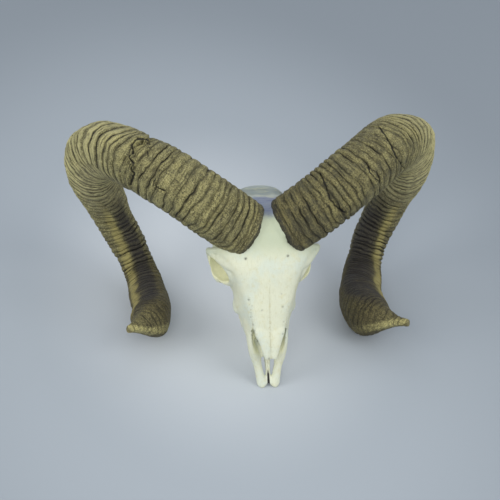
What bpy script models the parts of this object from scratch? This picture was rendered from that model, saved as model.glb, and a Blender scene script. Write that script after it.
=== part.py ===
"""A wild ram's skull with its curled horns, life size, without the lower jaw.

It lies as it would on a table: on the tip of its nose and on the two horn curls.

The skull is modelled in its own frame and then tipped into that rest. In the skull's frame
x runs across, y runs from the nose to the back of the head, and z rises out of the
forehead. Left and right are those of somebody who looks at the face. The tables are in
millimetres and degrees, and each mesh is made in metres.
"""

import math

import bmesh
import bpy
import numpy as np
from mathutils import Matrix, Vector

MM = 0.001

# How the skull lies, and where its own origin comes in the model's frame
REST_PITCH = 54.06
REST_ROLL = -1.51
SKULL_AT = (-2.42, -73.95, 145.27)

# Gap between touching bones, and between the lengths of a horn
GAP = 0.3

# Horn: a curl about an axis that runs across the head behind the eyes
CURL_AXIS_Y = 20.0
CURL_AXIS_Z = -86.0
# angle from straight up towards the back, radius, distance out from the mid plane
CURL = (
    (11, 62, 26.5),
    (23, 80, 57),
    (34, 93, 86),
    (46, 101, 115),
    (60, 106, 142),
    (76, 107, 165),
    (96, 97, 179),
    (121, 86, 180),
    (147, 87, 166),
    (173, 93, 148),
    (198, 96, 132),
    (217, 91, 123),
    (236, 84, 118),
    (254, 84, 119),
    (270, 89, 132),
    (283, 96, 157),
)
# The right horn's lower half stands further out and lower than the left one's
LOWER_SPREAD = 6.0
LOWER_DROP = 4.0
TIP_FLARE = 3.0
# share of the length, width, depth from brow to keel, twist of the section
HORN_SECTIONS = (
    (0.00, 62, 64, 0),
    (0.10, 62, 66, 0),
    (0.25, 61, 65, 0),
    (0.42, 61, 61, -5),
    (0.50, 54, 56, -15),
    (0.62, 43, 48, -30),
    (0.75, 40, 46, -40),
    (0.86, 41, 46, -40),
    (0.92, 43, 44, -30),
    (0.96, 29, 28, -15),
    (0.985, 19, 15, 0),
    (1.00, 10, 9, 0),
)
HORN_SIDES = 18
HORN_RINGS = 33
BROW_FLATNESS = 0.85
KEEL_NARROWING = 0.28
# where each length of a horn starts, as a share of the whole
HORN_LENGTHS = {"base": 0.0, "shoulder": 0.26, "bend": 0.5, "end": 0.77}

# Skull, from nose to nape: y, ridge z, then five points (x, z) down the right side, floor z
HEAD_RINGS = (
    (-89, -16, (10, -18), (16, -26), (21, -40), (18, -58), (9, -62), -60),
    (-80, -14, (14, -16), (20, -24), (24, -40), (21, -65), (12, -69), -66),
    (-66, -11, (17, -13), (23, -22), (27, -42), (23, -73), (15, -73), -70),
    (-52, -8, (20, -10), (27, -20), (33, -42), (26, -76), (17, -75), -71),
    (-38, -5, (23, -8), (31, -18), (34, -44), (28, -78), (17, -76), -72),
    (-24, -2, (27, -5), (37, -17), (34, -44), (28, -79), (16, -78), -73),
    (-8, 0, (31, -3), (46, -19), (32, -44), (24, -76), (13, -83), -80),
    (9, 0, (33, -4), (54, -25), (34, -46), (19, -74), (11, -90), -88),
    (28, -2, (28, -6), (38, -26), (32, -52), (25, -80), (12, -97), -95),
    (46, -11, (22, -14), (34, -34), (35, -60), (29, -88), (13, -103), -101),
    (62, -34, (20, -37), (31, -52), (35, -72), (28, -96), (12, -107), -105),
    (73, -54, (16, -56), (25, -65), (29, -80), (22, -99), (9, -107), -104),
)
# The eye socket's rim, once round, with its half thickness
SOCKET_RIM = (
    (59, 8, -35, 3.6),
    (53, 0, -27, 3.8),
    (45, -12, -23, 4.2),
    (38, -22, -28, 4.5),
    (36, -26, -40, 4.2),
    (42, -24, -50, 4.2),
    (49.5, -16, -56, 4.2),
    (54, -4, -58, 4.0),
    (57.5, 6, -54, 3.6),
    (59, 10, -46, 3.4),
)
SOCKET_CUT = ((44, -7, -43), (27, 17.5, 18.5), (-27, -10))
# Rods of bone: x, y, z, half width, half height
CHEEK_BAR = ((21, -60, -50, 4, 5), (26, -50, -52, 4.5, 6), (30, -38, -55, 4.5, 6), (40, -24, -55, 4, 5))
ARCH = ((47, -6, -59, 4, 5), (49.5, 12, -64, 3, 6), (48, 30, -68, 3.5, 6), (43, 45, -69, 5, 5),
        (34, 52, -68, 7, 6))
BROW_WEDGE = ((26, 8, -13, 9, 12), (42, 9, -19, 7, 9), (52, 9, -27, 4.5, 7), (59, 10, -36, 3, 5))
HORN_BOSS = ((6, 20, -33, 22, 22), (18, 27.5, -28, 28, 28), (28.5, 34, -24, 30, 31))
JAW_PROCESS = ((24, 64, -88, 6, 7), (27, 65, -102, 4, 7), (26, 62, -116, 3, 5), (24, 59, -126, 2, 3))
PTERYGOID = ((15, -16, -76, 3, 8), (13, -4, -85, 2.5, 9), (11, 10, -91, 2.5, 7), (9, 22, -96, 3, 5))
NAPE_CREST = ((-30, 62, -62, 4, 5), (-18, 73, -58, 4, 5), (0, 76, -57, 4, 5), (18, 73, -58, 4, 5),
              (30, 62, -62, 4, 5))
NOSE_ROD = ((20, -76, -36, 3.5, 8), (18.5, -92, -38, 4, 9), (14.2, -108, -44, 5.3, 7.5),
            (12, -119, -47.5, 3.4, 5.5), (9.2, -129, -49.5, 3.8, 4.5), (6.9, -136, -50.5, 6.3, 3.8),
            (6.4, -142, -50.5, 4.6, 2.8))
PALATE_ROD = ((1.6, -82, -54, 1.8, 4), (1.6, -104, -51, 1.8, 3.4), (1.3, -116, -50, 1.5, 2.8),
              (0.8, -125, -50, 1, 2))
NASAL_BLADE = ((9, -76, -16.5, 9.4, 3.4), (7.6, -92, -18, 8, 2.8), (5.2, -102, -19.6, 5.6, 2.3),
               (3.2, -110, -20.8, 3.4, 1.8))
NOSE_FLOOR = ((0, -78, -60, 19, 4), (0, -92, -57, 17, 3.2), (0, -103, -54, 14, 2.6))
# Round lumps: centre, half sizes
CONDYLE = ((13, 68, -97), (10, 9, 12))
EAR_BULLA = ((22, 46, -98), (8, 13, 11))
EAR_PORCH = ((36, 50, -82), (8, 6, 6))
SOCKET_FLOOR = ((36, -8, -60), (13, 15, 5.5))
CHEEK_LUMP = ((30, -51, -47), (5, 10, 8))
# Hollows: centre, half sizes
BRAIN_HOLE = ((0, 82, -86), (9, 26, 9))
THROAT = ((0, 2, -86), (9, 24, 9))
PALATE_VAULT = ((0, -52, -80), (17, 42, 9))
NASAL_PASSAGE = ((0, -100, -37.5), (14.5, 46, 15.5))
EAR_HOLE = ((44, 50, -82), (12, 2.6, 2.6))

# Cheek teeth, on the right: gum height, crown height, and along the row y, x, length, width
GUM_Z = -76.0
CROWN_Z = -92.0
CHEEK_TEETH = (
    (-74, 16.5, 9, 8),
    (-64, 18.5, 10, 9),
    (-53.5, 20.5, 10, 11),
    (-42, 21.5, 12, 12),
    (-28.5, 22, 14, 12),
    (-13, 21, 16, 11),
)

SPAN_STEPS = 5
ROD_SIDES = 14
LUMP_SIDES = 14
CLAY_VOXEL = 1.5
SOFTEN_STEPS = 5
SKULL_TRIANGLES = 2150
SHARP_ANGLE = 40.0

# The nose leans a little to the viewer's right: by how much at its tip, and from where
NOSE_LEAN = 1.6
LEAN_FROM = 60.0

# Seams between the bones: the plane that a row of points lies in, the points, the depths
# across that plane that the cut runs between, and its width
PLANES = {"xy": (0, 1, 2), "yz": (1, 2, 0), "xz": (0, 2, 1)}
BROW_SEAM = ((-50, -30), (-30, -31), (-12, -29), (0, -34), (12, -29), (30, -31), (50, -30))
NASAL_EDGE = ((25, -27), (21.5, -48), (17.5, -79), (15.5, -93))
CHEEKBONE = ((34.5, -67.5), (34.5, -46), (66, -46))
SEAMS = {
    "brow": ("xy", BROW_SEAM, (12, -67.4), GAP),
    "nasal_edge_right": ("xy", NASAL_EDGE, (8, -26), GAP),
    "nasal_edge_left": ("xy", tuple((-x, y) for x, y in NASAL_EDGE), (8, -26), GAP),
    "under_nasals": ("yz", ((-26, -15), (-60, -19), (-92, -24)), (-26, 26), GAP),
    "midline": ("xy", ((0, -33.6), (0, -128)), (8, -98), GAP),
    "palate_midline": ("xy", ((0, 0), (0, -34.5)), (-66, -98), GAP),
    "nose_slit": ("xy", ((0, -126), (0, -150)), (-30, -70), 2.2),
    "under_brow": ("yz", ((-36, -67), (24, -66), (44, -60), (54, -48), (58, -12)), (-43, 43), GAP),
    "behind_palate": ("yz", ((-4, -65.9), (-3, -104)), (-40, 40), GAP),
    "nape": ("yz", ((65, -20), (62, -50), (58, -70), (56, -116)), (-46, 46), GAP),
    "nose_bones": ("yz", ((-81.5, -21.5), (-91, -50.5)), (-40, 40), GAP),
    "arch_right": ("yz", ((22, -50), (26, -84)), (42, 66), GAP),
    "arch_left": ("yz", ((22, -50), (26, -84)), (-66, -42), GAP),
    "cheekbone_right": ("xz", CHEEKBONE, (-30.8, 15), GAP),
    "cheekbone_left": ("xz", tuple((-x, z) for x, z in CHEEKBONE), (-30.8, 15), GAP),
}

# A point near the middle of each bone of the parted skull
BONES = {
    "frontal": (0, 15, -35),
    "nasal_left": (-8, -81, -17),
    "nasal_right": (8, -81, -17),
    "maxilla_left": (-18, -45, -55),
    "maxilla_right": (18, -45, -55),
    "premaxilla_left": (-12, -108, -44),
    "premaxilla_right": (12, -108, -44),
    "cheekbone_left": (-46, 0, -58),
    "cheekbone_right": (46, 0, -58),
    "braincase": (0, 38, -82),
    "occiput": (0, 67, -86),
}


def remove_everything():
    for old in list(bpy.data.objects):
        bpy.data.objects.remove(old, do_unlink=True)


def principled(name, colour, roughness):
    material = bpy.data.materials.new(name)
    material.use_nodes = True
    shader = material.node_tree.nodes["Principled BSDF"]
    shader.inputs["Base Color"].default_value = (*colour, 1.0)
    shader.inputs["Roughness"].default_value = roughness
    shader.inputs["Metallic"].default_value = 0.0
    material.diffuse_color = (*colour, 1.0)
    return material


def smooth_rows(rows, steps):
    """Rows of numbers filled in along a Catmull-Rom curve, with `steps` in each span."""
    table = np.array(rows, float)
    padded = np.vstack([2 * table[0] - table[1], table, 2 * table[-1] - table[-2]])
    filled = []
    for span in range(len(table) - 1):
        a, b, c, d = padded[span:span + 4]
        for step in range(steps):
            t = step / steps
            filled.append(0.5 * (2 * b + (c - a) * t + (2 * a - 5 * b + 4 * c - d) * t ** 2
                                 + (3 * b - a - 3 * c + d) * t ** 3))
    filled.append(table[-1])
    return np.array(filled)


def add_tube(bm, rings):
    """Closed tube through rings of points, which are arrays of one length."""
    loops = [[bm.verts.new(Vector(point) * MM) for point in ring] for ring in rings]
    sides = len(loops[0])
    for here, there in zip(loops, loops[1:]):
        for side in range(sides):
            after = (side + 1) % sides
            bm.faces.new((here[side], here[after], there[after], there[side]))
    bm.faces.new(list(reversed(loops[0])))
    bm.faces.new(loops[-1])


def add_rod(bm, rows, mirrored=False):
    """Rod of bone through rows of x, y, z, half width and half height."""
    table = np.array(rows, float)
    if mirrored:
        table[:, 0] *= -1
    table = smooth_rows(table, SPAN_STEPS)
    centres = table[:, :3]
    tangents = np.gradient(centres, axis=0)
    run = np.abs(centres[-1] - centres[0])
    wide = Vector((0, 1, 0)) if run[0] > max(run[1], run[2]) else Vector((1, 0, 0))
    rings = []
    for centre, tangent, (half_wide, half_high) in zip(centres, tangents, table[:, 3:]):
        along = Vector(tangent).normalized()
        across = (wide - along * wide.dot(along)).normalized()
        up = along.cross(across)
        rings.append([Vector(centre) + across * half_wide * math.cos(turn) + up * half_high * math.sin(turn)
                      for turn in np.linspace(0, math.tau, ROD_SIDES, endpoint=False)])
    add_tube(bm, rings)


def add_rim(bm, rows, mirrored=False):
    """Closed ring of bone through rows of x, y, z and half thickness."""
    table = np.array(rows, float)
    if mirrored:
        table[:, 0] *= -1
    wrapped = np.vstack([table[-1], table, table[0], table[1]])
    table = smooth_rows(wrapped, SPAN_STEPS)[SPAN_STEPS:-SPAN_STEPS - 1]
    middle = table[:, :3].mean(axis=0)
    loops = []
    for index, (x, y, z, thick) in enumerate(table):
        ahead = table[(index + 1) % len(table), :3]
        behind = table[index - 1, :3]
        along = Vector(ahead - behind).normalized()
        outward = Vector((x, y, z)) - Vector(middle)
        outward = (outward - along * outward.dot(along)).normalized()
        up = along.cross(outward)
        loops.append([bm.verts.new((Vector((x, y, z)) + outward * thick * math.cos(turn)
                                    + up * thick * math.sin(turn)) * MM)
                      for turn in np.linspace(0, math.tau, ROD_SIDES, endpoint=False)])
    for index, here in enumerate(loops):
        there = loops[(index + 1) % len(loops)]
        for side in range(ROD_SIDES):
            after = (side + 1) % ROD_SIDES
            bm.faces.new((here[side], here[after], there[after], there[side]))


def add_lump(bm, lump, mirrored=False, turn=(0.0, 0.0)):
    """Ellipsoid from its centre and half sizes, turned about z and then about y."""
    centre, half_sizes = (Vector(values) * MM for values in lump[:2])
    about_z, about_y = (math.radians(angle) for angle in turn)
    place = Matrix.Translation(centre) @ Matrix.Rotation(about_z, 4, "Z") @ Matrix.Rotation(about_y, 4, "Y")
    place = place @ Matrix.Diagonal((*half_sizes, 1.0))
    if mirrored:
        place = Matrix.Diagonal((-1.0, 1.0, 1.0, 1.0)) @ place
    bmesh.ops.create_uvsphere(bm, u_segments=LUMP_SIDES, v_segments=LUMP_SIDES // 2 + 2, radius=1.0,
                              matrix=place)


def add_head(bm):
    """The head from nose to nape, lofted through HEAD_RINGS."""
    flat_rows = [np.hstack([y, 0, ridge, np.ravel(side), 0, floor])
                 for y, ridge, *side, floor in HEAD_RINGS]
    rings = []
    for row in smooth_rows(flat_rows, SPAN_STEPS):
        right = row[1:].reshape(-1, 2)
        left = right[-2:0:-1] * (-1, 1)
        loop = np.vstack([right, left])
        wrapped = np.vstack([loop[-1], loop, loop[0], loop[1]])
        outline = smooth_rows(wrapped, SPAN_STEPS)[SPAN_STEPS:-SPAN_STEPS - 1]
        rings.append([(x, row[0], z) for x, z in outline])
    add_tube(bm, rings)


def ease(value, start, width):
    share = min(1.0, max(0.0, (value - start) / width))
    return share * share * (3 - 2 * share)


def horn_path(side):
    """Even points along a horn's middle, from base to tip, and their distances along it."""
    stations = []
    for index, (angle, radius, out) in enumerate(CURL):
        share = index / (len(CURL) - 1)
        lower = ease(share, 0.25, 0.35)
        flare = ease(share, 0.88, 0.12)
        turn = math.radians(angle)
        stations.append((side * out + LOWER_SPREAD * lower + TIP_FLARE * flare,
                         CURL_AXIS_Y + radius * math.sin(turn) - side * LOWER_DROP * lower,
                         CURL_AXIS_Z + radius * math.cos(turn)))
    points = smooth_rows(stations, 30)
    steps = np.linalg.norm(np.diff(points, axis=0), axis=1)
    return points, np.concatenate([[0.0], np.cumsum(steps)])


def horn_rings(side, shares):
    """Middles, directions and rings of points of a horn, at shares of its length."""
    points, run = horn_path(side)
    sections = smooth_rows(HORN_SECTIONS, 8)
    middles, directions, rings = [], [], []
    for share in shares:
        at = share * run[-1]
        middle = Vector([np.interp(at, run, points[:, axis]) for axis in range(3)])
        ahead = Vector([np.interp(at + 2, run, points[:, axis]) for axis in range(3)])
        behind = Vector([np.interp(at - 2, run, points[:, axis]) for axis in range(3)])
        along = (ahead - behind).normalized()
        width, depth, twist = (np.interp(share, sections[:, 0], sections[:, column]) for column in (1, 2, 3))
        brow = Vector((0, middle.y - CURL_AXIS_Y, middle.z - CURL_AXIS_Z))
        brow = (brow - along * brow.dot(along)).normalized()
        outer = brow.cross(along) * side
        twist = math.radians(twist)
        brow, outer = (brow * math.cos(twist) + outer * math.sin(twist),
                       outer * math.cos(twist) - brow * math.sin(twist))
        ring = []
        for turn in np.linspace(0, math.tau, HORN_SIDES, endpoint=False):
            front = math.copysign(abs(math.cos(turn)) ** BROW_FLATNESS, math.cos(turn))
            wide = math.sin(turn) * (1 + KEEL_NARROWING * math.cos(turn))
            ring.append(middle + brow * front * depth / 2 + outer * wide * width / 2)
        middles.append(middle)
        directions.append(along)
        rings.append(ring)
    return middles, directions, rings


def mesh_object(name, bm):
    bmesh.ops.recalc_face_normals(bm, faces=bm.faces)
    mesh = bpy.data.meshes.new(name)
    bm.to_mesh(mesh)
    bm.free()
    thing = bpy.data.objects.new(name, mesh)
    bpy.context.scene.collection.objects.link(thing)
    return thing


def cutter_object(name, bm):
    thing = mesh_object(name, bm)
    thing.hide_render = True
    thing.display_type = "WIRE"
    return thing


def rest_matrix():
    """From the skull's frame to the model's frame, in which it lies on the floor."""
    tipped = Matrix.Rotation(math.radians(REST_PITCH), 4, "X")
    rolled = Matrix.Rotation(math.radians(REST_ROLL), 4, "Y")
    return Matrix.Translation(Vector(SKULL_AT) * MM) @ rolled @ tipped


def finish(thing, look):
    """Lay a finished piece in the rest pose, with its own material and smooth shading."""
    substance, colour, roughness = look
    mesh = thing.data
    mesh.transform(rest_matrix())
    mesh.materials.clear()
    mesh.materials.append(principled(f"{thing.name}_{substance}", colour, roughness))
    mesh.shade_smooth()
    mesh.set_sharp_from_angle(angle=math.radians(SHARP_ANGLE))


def evaluated_mesh(thing):
    bpy.context.view_layer.update()
    graph = bpy.context.evaluated_depsgraph_get()
    return bpy.data.meshes.new_from_object(thing.evaluated_get(graph))


def add_tooth(bm, x, y, half_wide, half_long):
    """One cheek tooth: a block with rounded corners, from inside the gum to its crown."""
    rings = []
    for z, grow in ((GUM_Z + 8, 0.9), (GUM_Z - 4, 1.0), (CROWN_Z + 2, 1.0), (CROWN_Z, 0.85)):
        ring = []
        for turn in np.linspace(0, math.tau, 16, endpoint=False):
            bulge = grow * (abs(math.cos(turn)) ** 4 + abs(math.sin(turn)) ** 4) ** -0.25
            ring.append((x + half_wide * bulge * math.cos(turn),
                         y + half_long * bulge * math.sin(turn), z))
        rings.append(ring)
    add_tube(bm, rings)


def bone_clay():
    """All the skull's forms in one mesh, still overlapping."""
    bm = bmesh.new()
    add_head(bm)
    for mirrored in (False, True):
        add_rim(bm, SOCKET_RIM, mirrored)
        for rod in (CHEEK_BAR, ARCH, BROW_WEDGE, HORN_BOSS, JAW_PROCESS, PTERYGOID, NOSE_ROD,
                    PALATE_ROD, NASAL_BLADE):
            add_rod(bm, rod, mirrored)
        for lump in (CONDYLE, EAR_BULLA, EAR_PORCH, CHEEK_LUMP, SOCKET_FLOOR):
            add_lump(bm, lump, mirrored)
        for y, x, long, wide in CHEEK_TEETH:
            add_tooth(bm, -x if mirrored else x, y, wide / 2, long / 2 - 0.5)
    add_rod(bm, NAPE_CREST)
    add_rod(bm, NOSE_FLOOR)
    return mesh_object("bone_clay", bm)


def hollow_cutter():
    bm = bmesh.new()
    for mirrored in (False, True):
        add_lump(bm, SOCKET_CUT[:2], mirrored, SOCKET_CUT[2])
        add_lump(bm, EAR_HOLE, mirrored)
        side = -1 if mirrored else 1
        middles, directions, rings = horn_rings(side, np.linspace(0, 0.09, 6))
        seat = [[middle + (point - middle) * (1 + GAP / 30) for point in ring]
                for middle, ring in zip(middles, rings)]
        seat[0] = [point - directions[0] * GAP for point in seat[0]]
        add_tube(bm, seat)
    for lump in (BRAIN_HOLE, THROAT, PALATE_VAULT, NASAL_PASSAGE):
        add_lump(bm, lump)
    return cutter_object("hollows", bm)


def seam_cutter(plane, points, depths, width):
    """A thin wall that follows a row of points, to part two bones."""
    line = np.array(points, float)
    runs = np.diff(line, axis=0)
    sides = np.stack([-runs[:, 1], runs[:, 0]], axis=1) / np.linalg.norm(runs, axis=1)[:, None]
    sides = np.vstack([sides[:1], sides, sides[-1:]])
    offsets = sides[:-1] + sides[1:]
    offsets *= width / 2 / (offsets * sides[1:]).sum(axis=1)[:, None]
    axes = list(PLANES[plane])
    rings = []
    for near, far in zip(line - offsets, line + offsets):
        ring = np.zeros((4, 3))
        ring[:, axes] = [(*near, depths[0]), (*far, depths[0]), (*far, depths[1]), (*near, depths[1])]
        rings.append(ring)
    bm = bmesh.new()
    add_tube(bm, rings)
    return cutter_object("seam", bm)


def cut(thing, cutter):
    boolean = thing.modifiers.new(cutter.name, "BOOLEAN")
    boolean.operation = "DIFFERENCE"
    boolean.solver = "EXACT"
    boolean.object = cutter
    return boolean


def parted_skull():
    """One mesh that holds all the bones of the skull, fused, hollowed and cut at the seams."""
    clay = bone_clay()
    remesh = clay.modifiers.new("fuse", "REMESH")
    remesh.mode = "VOXEL"
    remesh.voxel_size = CLAY_VOXEL * MM
    soften = clay.modifiers.new("soften", "SMOOTH")
    soften.iterations = SOFTEN_STEPS
    triangles = 2 * len(evaluated_mesh(clay).polygons)
    thin = clay.modifiers.new("thin", "DECIMATE")
    thin.ratio = SKULL_TRIANGLES / triangles
    cutters = [hollow_cutter()]
    cut(clay, cutters[0]).use_self = True
    for seam in SEAMS.values():
        cutters.append(seam_cutter(*seam))
        cut(clay, cutters[-1])
    mesh = evaluated_mesh(clay)
    for thing in (clay, *cutters):
        bpy.data.objects.remove(thing, do_unlink=True)
    return mesh


def loose_parts(mesh):
    """Sets of the face numbers of each separate body in a mesh."""
    bm = bmesh.new()
    bm.from_mesh(mesh)
    bm.faces.ensure_lookup_table()
    parts = []
    seen = set()
    for first in bm.faces:
        if first.index in seen:
            continue
        part = set()
        waiting = [first]
        while waiting:
            face = waiting.pop()
            if face.index in part:
                continue
            part.add(face.index)
            waiting.extend(other for edge in face.edges for other in edge.link_faces)
        seen |= part
        parts.append(part)
    bm.free()
    return parts


def model_skull(look):
    """Each loose part of the skull, as the bone whose point in BONES is nearest."""
    whole = parted_skull()
    for part in loose_parts(whole):
        bm = bmesh.new()
        bm.from_mesh(whole)
        others = [face for face in bm.faces if face.index not in part]
        bmesh.ops.delete(bm, geom=others, context="FACES")
        corners = np.array([vertex.co for vertex in bm.verts]) / MM
        middle = Vector((corners.min(axis=0) + corners.max(axis=0)) / 2)
        name = min(BONES, key=lambda bone: (Vector(BONES[bone]) - middle).length)
        for vertex in bm.verts:
            vertex.co.x += NOSE_LEAN * MM * ease(-vertex.co.y / MM, LEAN_FROM, 80.0)
        finish(mesh_object(name, bm), look)


def model_horns(look):
    names = list(HORN_LENGTHS)
    for side, side_name in ((-1, "left"), (1, "right")):
        length = horn_path(side)[1][-1]
        ends = [*list(HORN_LENGTHS.values())[1:], 1.0]
        for name, start, end in zip(names, HORN_LENGTHS.values(), ends):
            first = start + (GAP / 2 / length if start else 0.0)
            last = end - (GAP / 2 / length if end < 1 else 0.0)
            count = round((end - start) * HORN_RINGS) + 1
            bm = bmesh.new()
            add_tube(bm, horn_rings(side, np.linspace(first, last, count))[2])
            finish(mesh_object(f"horn_{side_name}_{name}", bm), look)


def main():
    remove_everything()
    model_horns(("horn_keratin", (0.22, 0.18, 0.09), 0.6))
    model_skull(("dry_bone", (0.76, 0.74, 0.62), 0.55))


main()
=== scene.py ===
"""The looks of a wild ram's skull with its curled horns, as a museum's model of it.

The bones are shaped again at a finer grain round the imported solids, from the same tables:
fused clay forms, hollowed and parted at their sutures. Each horn is one sheath with growth
ridges, cracks and a frayed end. Tables are in millimetres and degrees in the skull's own
frame: x across, y from nose to nape, z out of the forehead. Left and right are those of
somebody who looks at the face. Lengths along the horns are shares of a horn's length.
"""

import math

import bmesh
import bpy
import numpy as np
from mathutils import Matrix, Vector, noise


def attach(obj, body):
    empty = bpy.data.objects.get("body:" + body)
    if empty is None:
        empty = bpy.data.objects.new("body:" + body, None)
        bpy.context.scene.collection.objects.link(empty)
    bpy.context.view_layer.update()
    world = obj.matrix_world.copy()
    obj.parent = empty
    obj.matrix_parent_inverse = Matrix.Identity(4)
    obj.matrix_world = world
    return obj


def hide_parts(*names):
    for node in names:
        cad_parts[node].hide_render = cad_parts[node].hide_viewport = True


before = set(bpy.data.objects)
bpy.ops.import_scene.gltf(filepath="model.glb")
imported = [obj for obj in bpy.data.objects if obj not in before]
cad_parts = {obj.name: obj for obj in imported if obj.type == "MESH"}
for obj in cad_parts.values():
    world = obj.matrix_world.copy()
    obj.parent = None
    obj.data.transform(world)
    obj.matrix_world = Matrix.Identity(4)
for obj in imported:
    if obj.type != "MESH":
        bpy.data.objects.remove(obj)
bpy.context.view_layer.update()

MM = 0.001

# How the skull lies, and where its own origin comes in the model's frame
REST_PITCH = 54.06
REST_ROLL = -1.51
SKULL_AT = (-2.42, -73.95, 145.27)

# The camera, in the skull's frame: turned about y, then rolled, this far out along its axis
CAMERA_YAW = 9.0
CAMERA_ROLL = 2.3
CAMERA_FAR = 1600.0
LENS = 107.65
SENSOR = 36.0
PICTURE = 500.0
PICTURE_CENTRE = (269.0, 257.0)

# Horn: a curl about an axis that runs across the head behind the eyes
CURL_AXIS_Y = 20.0
CURL_AXIS_Z = -86.0
CURL = (
    (11, 62, 26.5),
    (23, 80, 57),
    (34, 93, 86),
    (46, 101, 115),
    (60, 106, 142),
    (76, 107, 165),
    (96, 97, 179),
    (121, 86, 180),
    (147, 87, 166),
    (173, 93, 148),
    (198, 96, 132),
    (217, 91, 123),
    (236, 84, 118),
    (254, 84, 119),
    (270, 90, 132),
    (283, 99.5, 157),
)
LOWER_SPREAD = 6.0
LOWER_DROP = 4.0
TIP_FLARE = 3.0
HORN_SECTIONS = (
    (0.00, 62, 64, 0),
    (0.10, 62, 66, 0),
    (0.25, 61, 65, 0),
    (0.42, 61, 61, -5),
    (0.50, 54, 56, -15),
    (0.62, 43, 48, -30),
    (0.75, 40, 46, -40),
    (0.86, 41, 45, -40),
    (0.915, 42, 42, -30),
    (0.95, 28, 25, -15),
    (0.975, 16, 13, 0),
    (1.00, 9, 8, 0),
)
BROW_FLATNESS = 0.85
KEEL_NARROWING = 0.28
SHEATH_RINGS = 500
SHEATH_SIDES = 190

# Skull, from nose to nape: y, ridge z, then five points (x, z) down the right side, floor z
HEAD_RINGS = (
    (-89, -16, (10, -18), (16, -26), (21, -40), (18, -58), (9, -62), -60),
    (-80, -14, (14, -16), (20, -24), (24, -40), (21, -65), (12, -69), -66),
    (-66, -11, (17, -13), (23, -22), (27, -42), (23, -73), (15, -73), -70),
    (-52, -8, (20, -10), (27, -20), (33, -42), (26, -76), (17, -75), -71),
    (-38, -5, (23, -8), (31, -18), (34, -44), (28, -78), (17, -76), -72),
    (-24, -2, (27, -5), (36, -17), (35.5, -43), (28, -79), (16, -78), -73),
    (-8, 0, (31, -2.5), (42.5, -14), (32, -44), (24, -76), (13, -83), -80),
    (9, 0, (33, -3.5), (52.5, -20), (34, -46), (19, -74), (11, -90), -88),
    (28, -2, (28, -6), (38, -26), (32, -52), (25, -80), (12, -97), -95),
    (46, -11, (22, -14), (34, -34), (35, -60), (29, -88), (13, -103), -101),
    (62, -34, (20, -37), (31, -52), (35, -72), (28, -96), (12, -107), -105),
    (73, -54, (16, -56), (25, -65), (29, -80), (22, -99), (9, -107), -104),
)
# The eye socket's rim, once round, with its half thickness
SOCKET_RIM = (
    (59, 8, -33, 3.6),
    (50, -2.5, -23.5, 3.4),
    (41, -13.5, -19.5, 3.8),
    (36.5, -22, -26, 4.3),
    (36, -26, -40, 4.2),
    (42, -24, -50, 4.2),
    (49.5, -16, -56, 4.2),
    (54, -4, -58, 4.0),
    (57.5, 6, -54, 3.6),
    (59, 10, -46, 3.4),
)
# Rods of bone: x, y, z, half width, half height
CHEEK_BAR = ((21, -60, -50, 4, 5), (26, -50, -52, 4.5, 6), (29, -38, -52, 4, 6),
             (34, -27, -50, 4, 6))
ARCH = ((47, -6, -59, 4, 5), (49.5, 12, -64, 3, 6), (48, 30, -68, 3.5, 6), (43, 45, -69, 5, 5),
        (34, 52, -68, 7, 6))
BROW_WEDGE = ((26, 8, -13, 9, 12), (42, 9, -19, 7, 9), (52, 9, -27, 4.5, 7), (59, 10, -36, 3, 5))
HORN_BOSS = ((6, 20, -33, 22, 22), (18, 27.5, -28, 28, 28), (28.5, 34, -24, 30, 31))
JAW_PROCESS = ((24, 64, -88, 6, 7), (27, 65, -102, 4, 7), (26, 62, -116, 3, 5),
               (24, 59, -126, 2, 3))
PTERYGOID = ((15, -16, -76, 3, 8), (13, -4, -85, 2.5, 9), (11, 10, -91, 2.5, 7), (9, 22, -96, 3, 5))
NAPE_CREST = ((-30, 62, -62, 4, 5), (-18, 73, -58, 4, 5), (0, 76, -57, 4, 5), (18, 73, -58, 4, 5),
              (30, 62, -62, 4, 5))
NOSE_ROD = ((20, -76, -36, 3.5, 8), (18.5, -92, -38, 4.2, 9), (13.8, -108, -44, 5.9, 7.5),
            (11.3, -119, -47.5, 4.6, 5.8), (9.2, -130, -49.6, 4.8, 4.8),
            (8.2, -134, -50.2, 5.4, 4.5), (6.6, -138, -50.5, 6.4, 4.1),
            (5.6, -141, -50.5, 5.2, 3.6), (4.4, -142.7, -50.5, 3.0, 2.8))
PALATE_ROD = ((1.6, -82, -54, 1.9, 4), (1.6, -104, -51, 1.9, 3.4), (1.4, -116, -50, 1.7, 3.0),
              (1.0, -125, -50, 1.3, 2.4))
NASAL_BLADE = ((8, -60, -22, 8, 3.4), (8.4, -78, -17.2, 8.8, 3.5), (6.0, -92, -18, 6.6, 3.4),
               (4.4, -103, -19.6, 4.8, 3), (3, -111, -20.8, 3.6, 2.3))
PLATE_PRONG = ((2.4, -139, -50.5, 2.8, 3.2), (1.8, -134, -50.4, 1.8, 2.8),
               (1.4, -126, -50.3, 1.1, 2.3))
BROW_PLATE = ((22, -7, -6.5, 12, 5), (34, -6, -10, 10, 5), (44, -2, -15.5, 8.5, 4.5),
              (53, 3, -22.5, 5.5, 4))
NOSE_FLOOR = ((0, -80, -47, 18, 7), (0, -94, -44.5, 16, 7), (0, -103, -44.5, 13.5, 6),
              (0, -108, -46, 10, 5))
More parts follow.
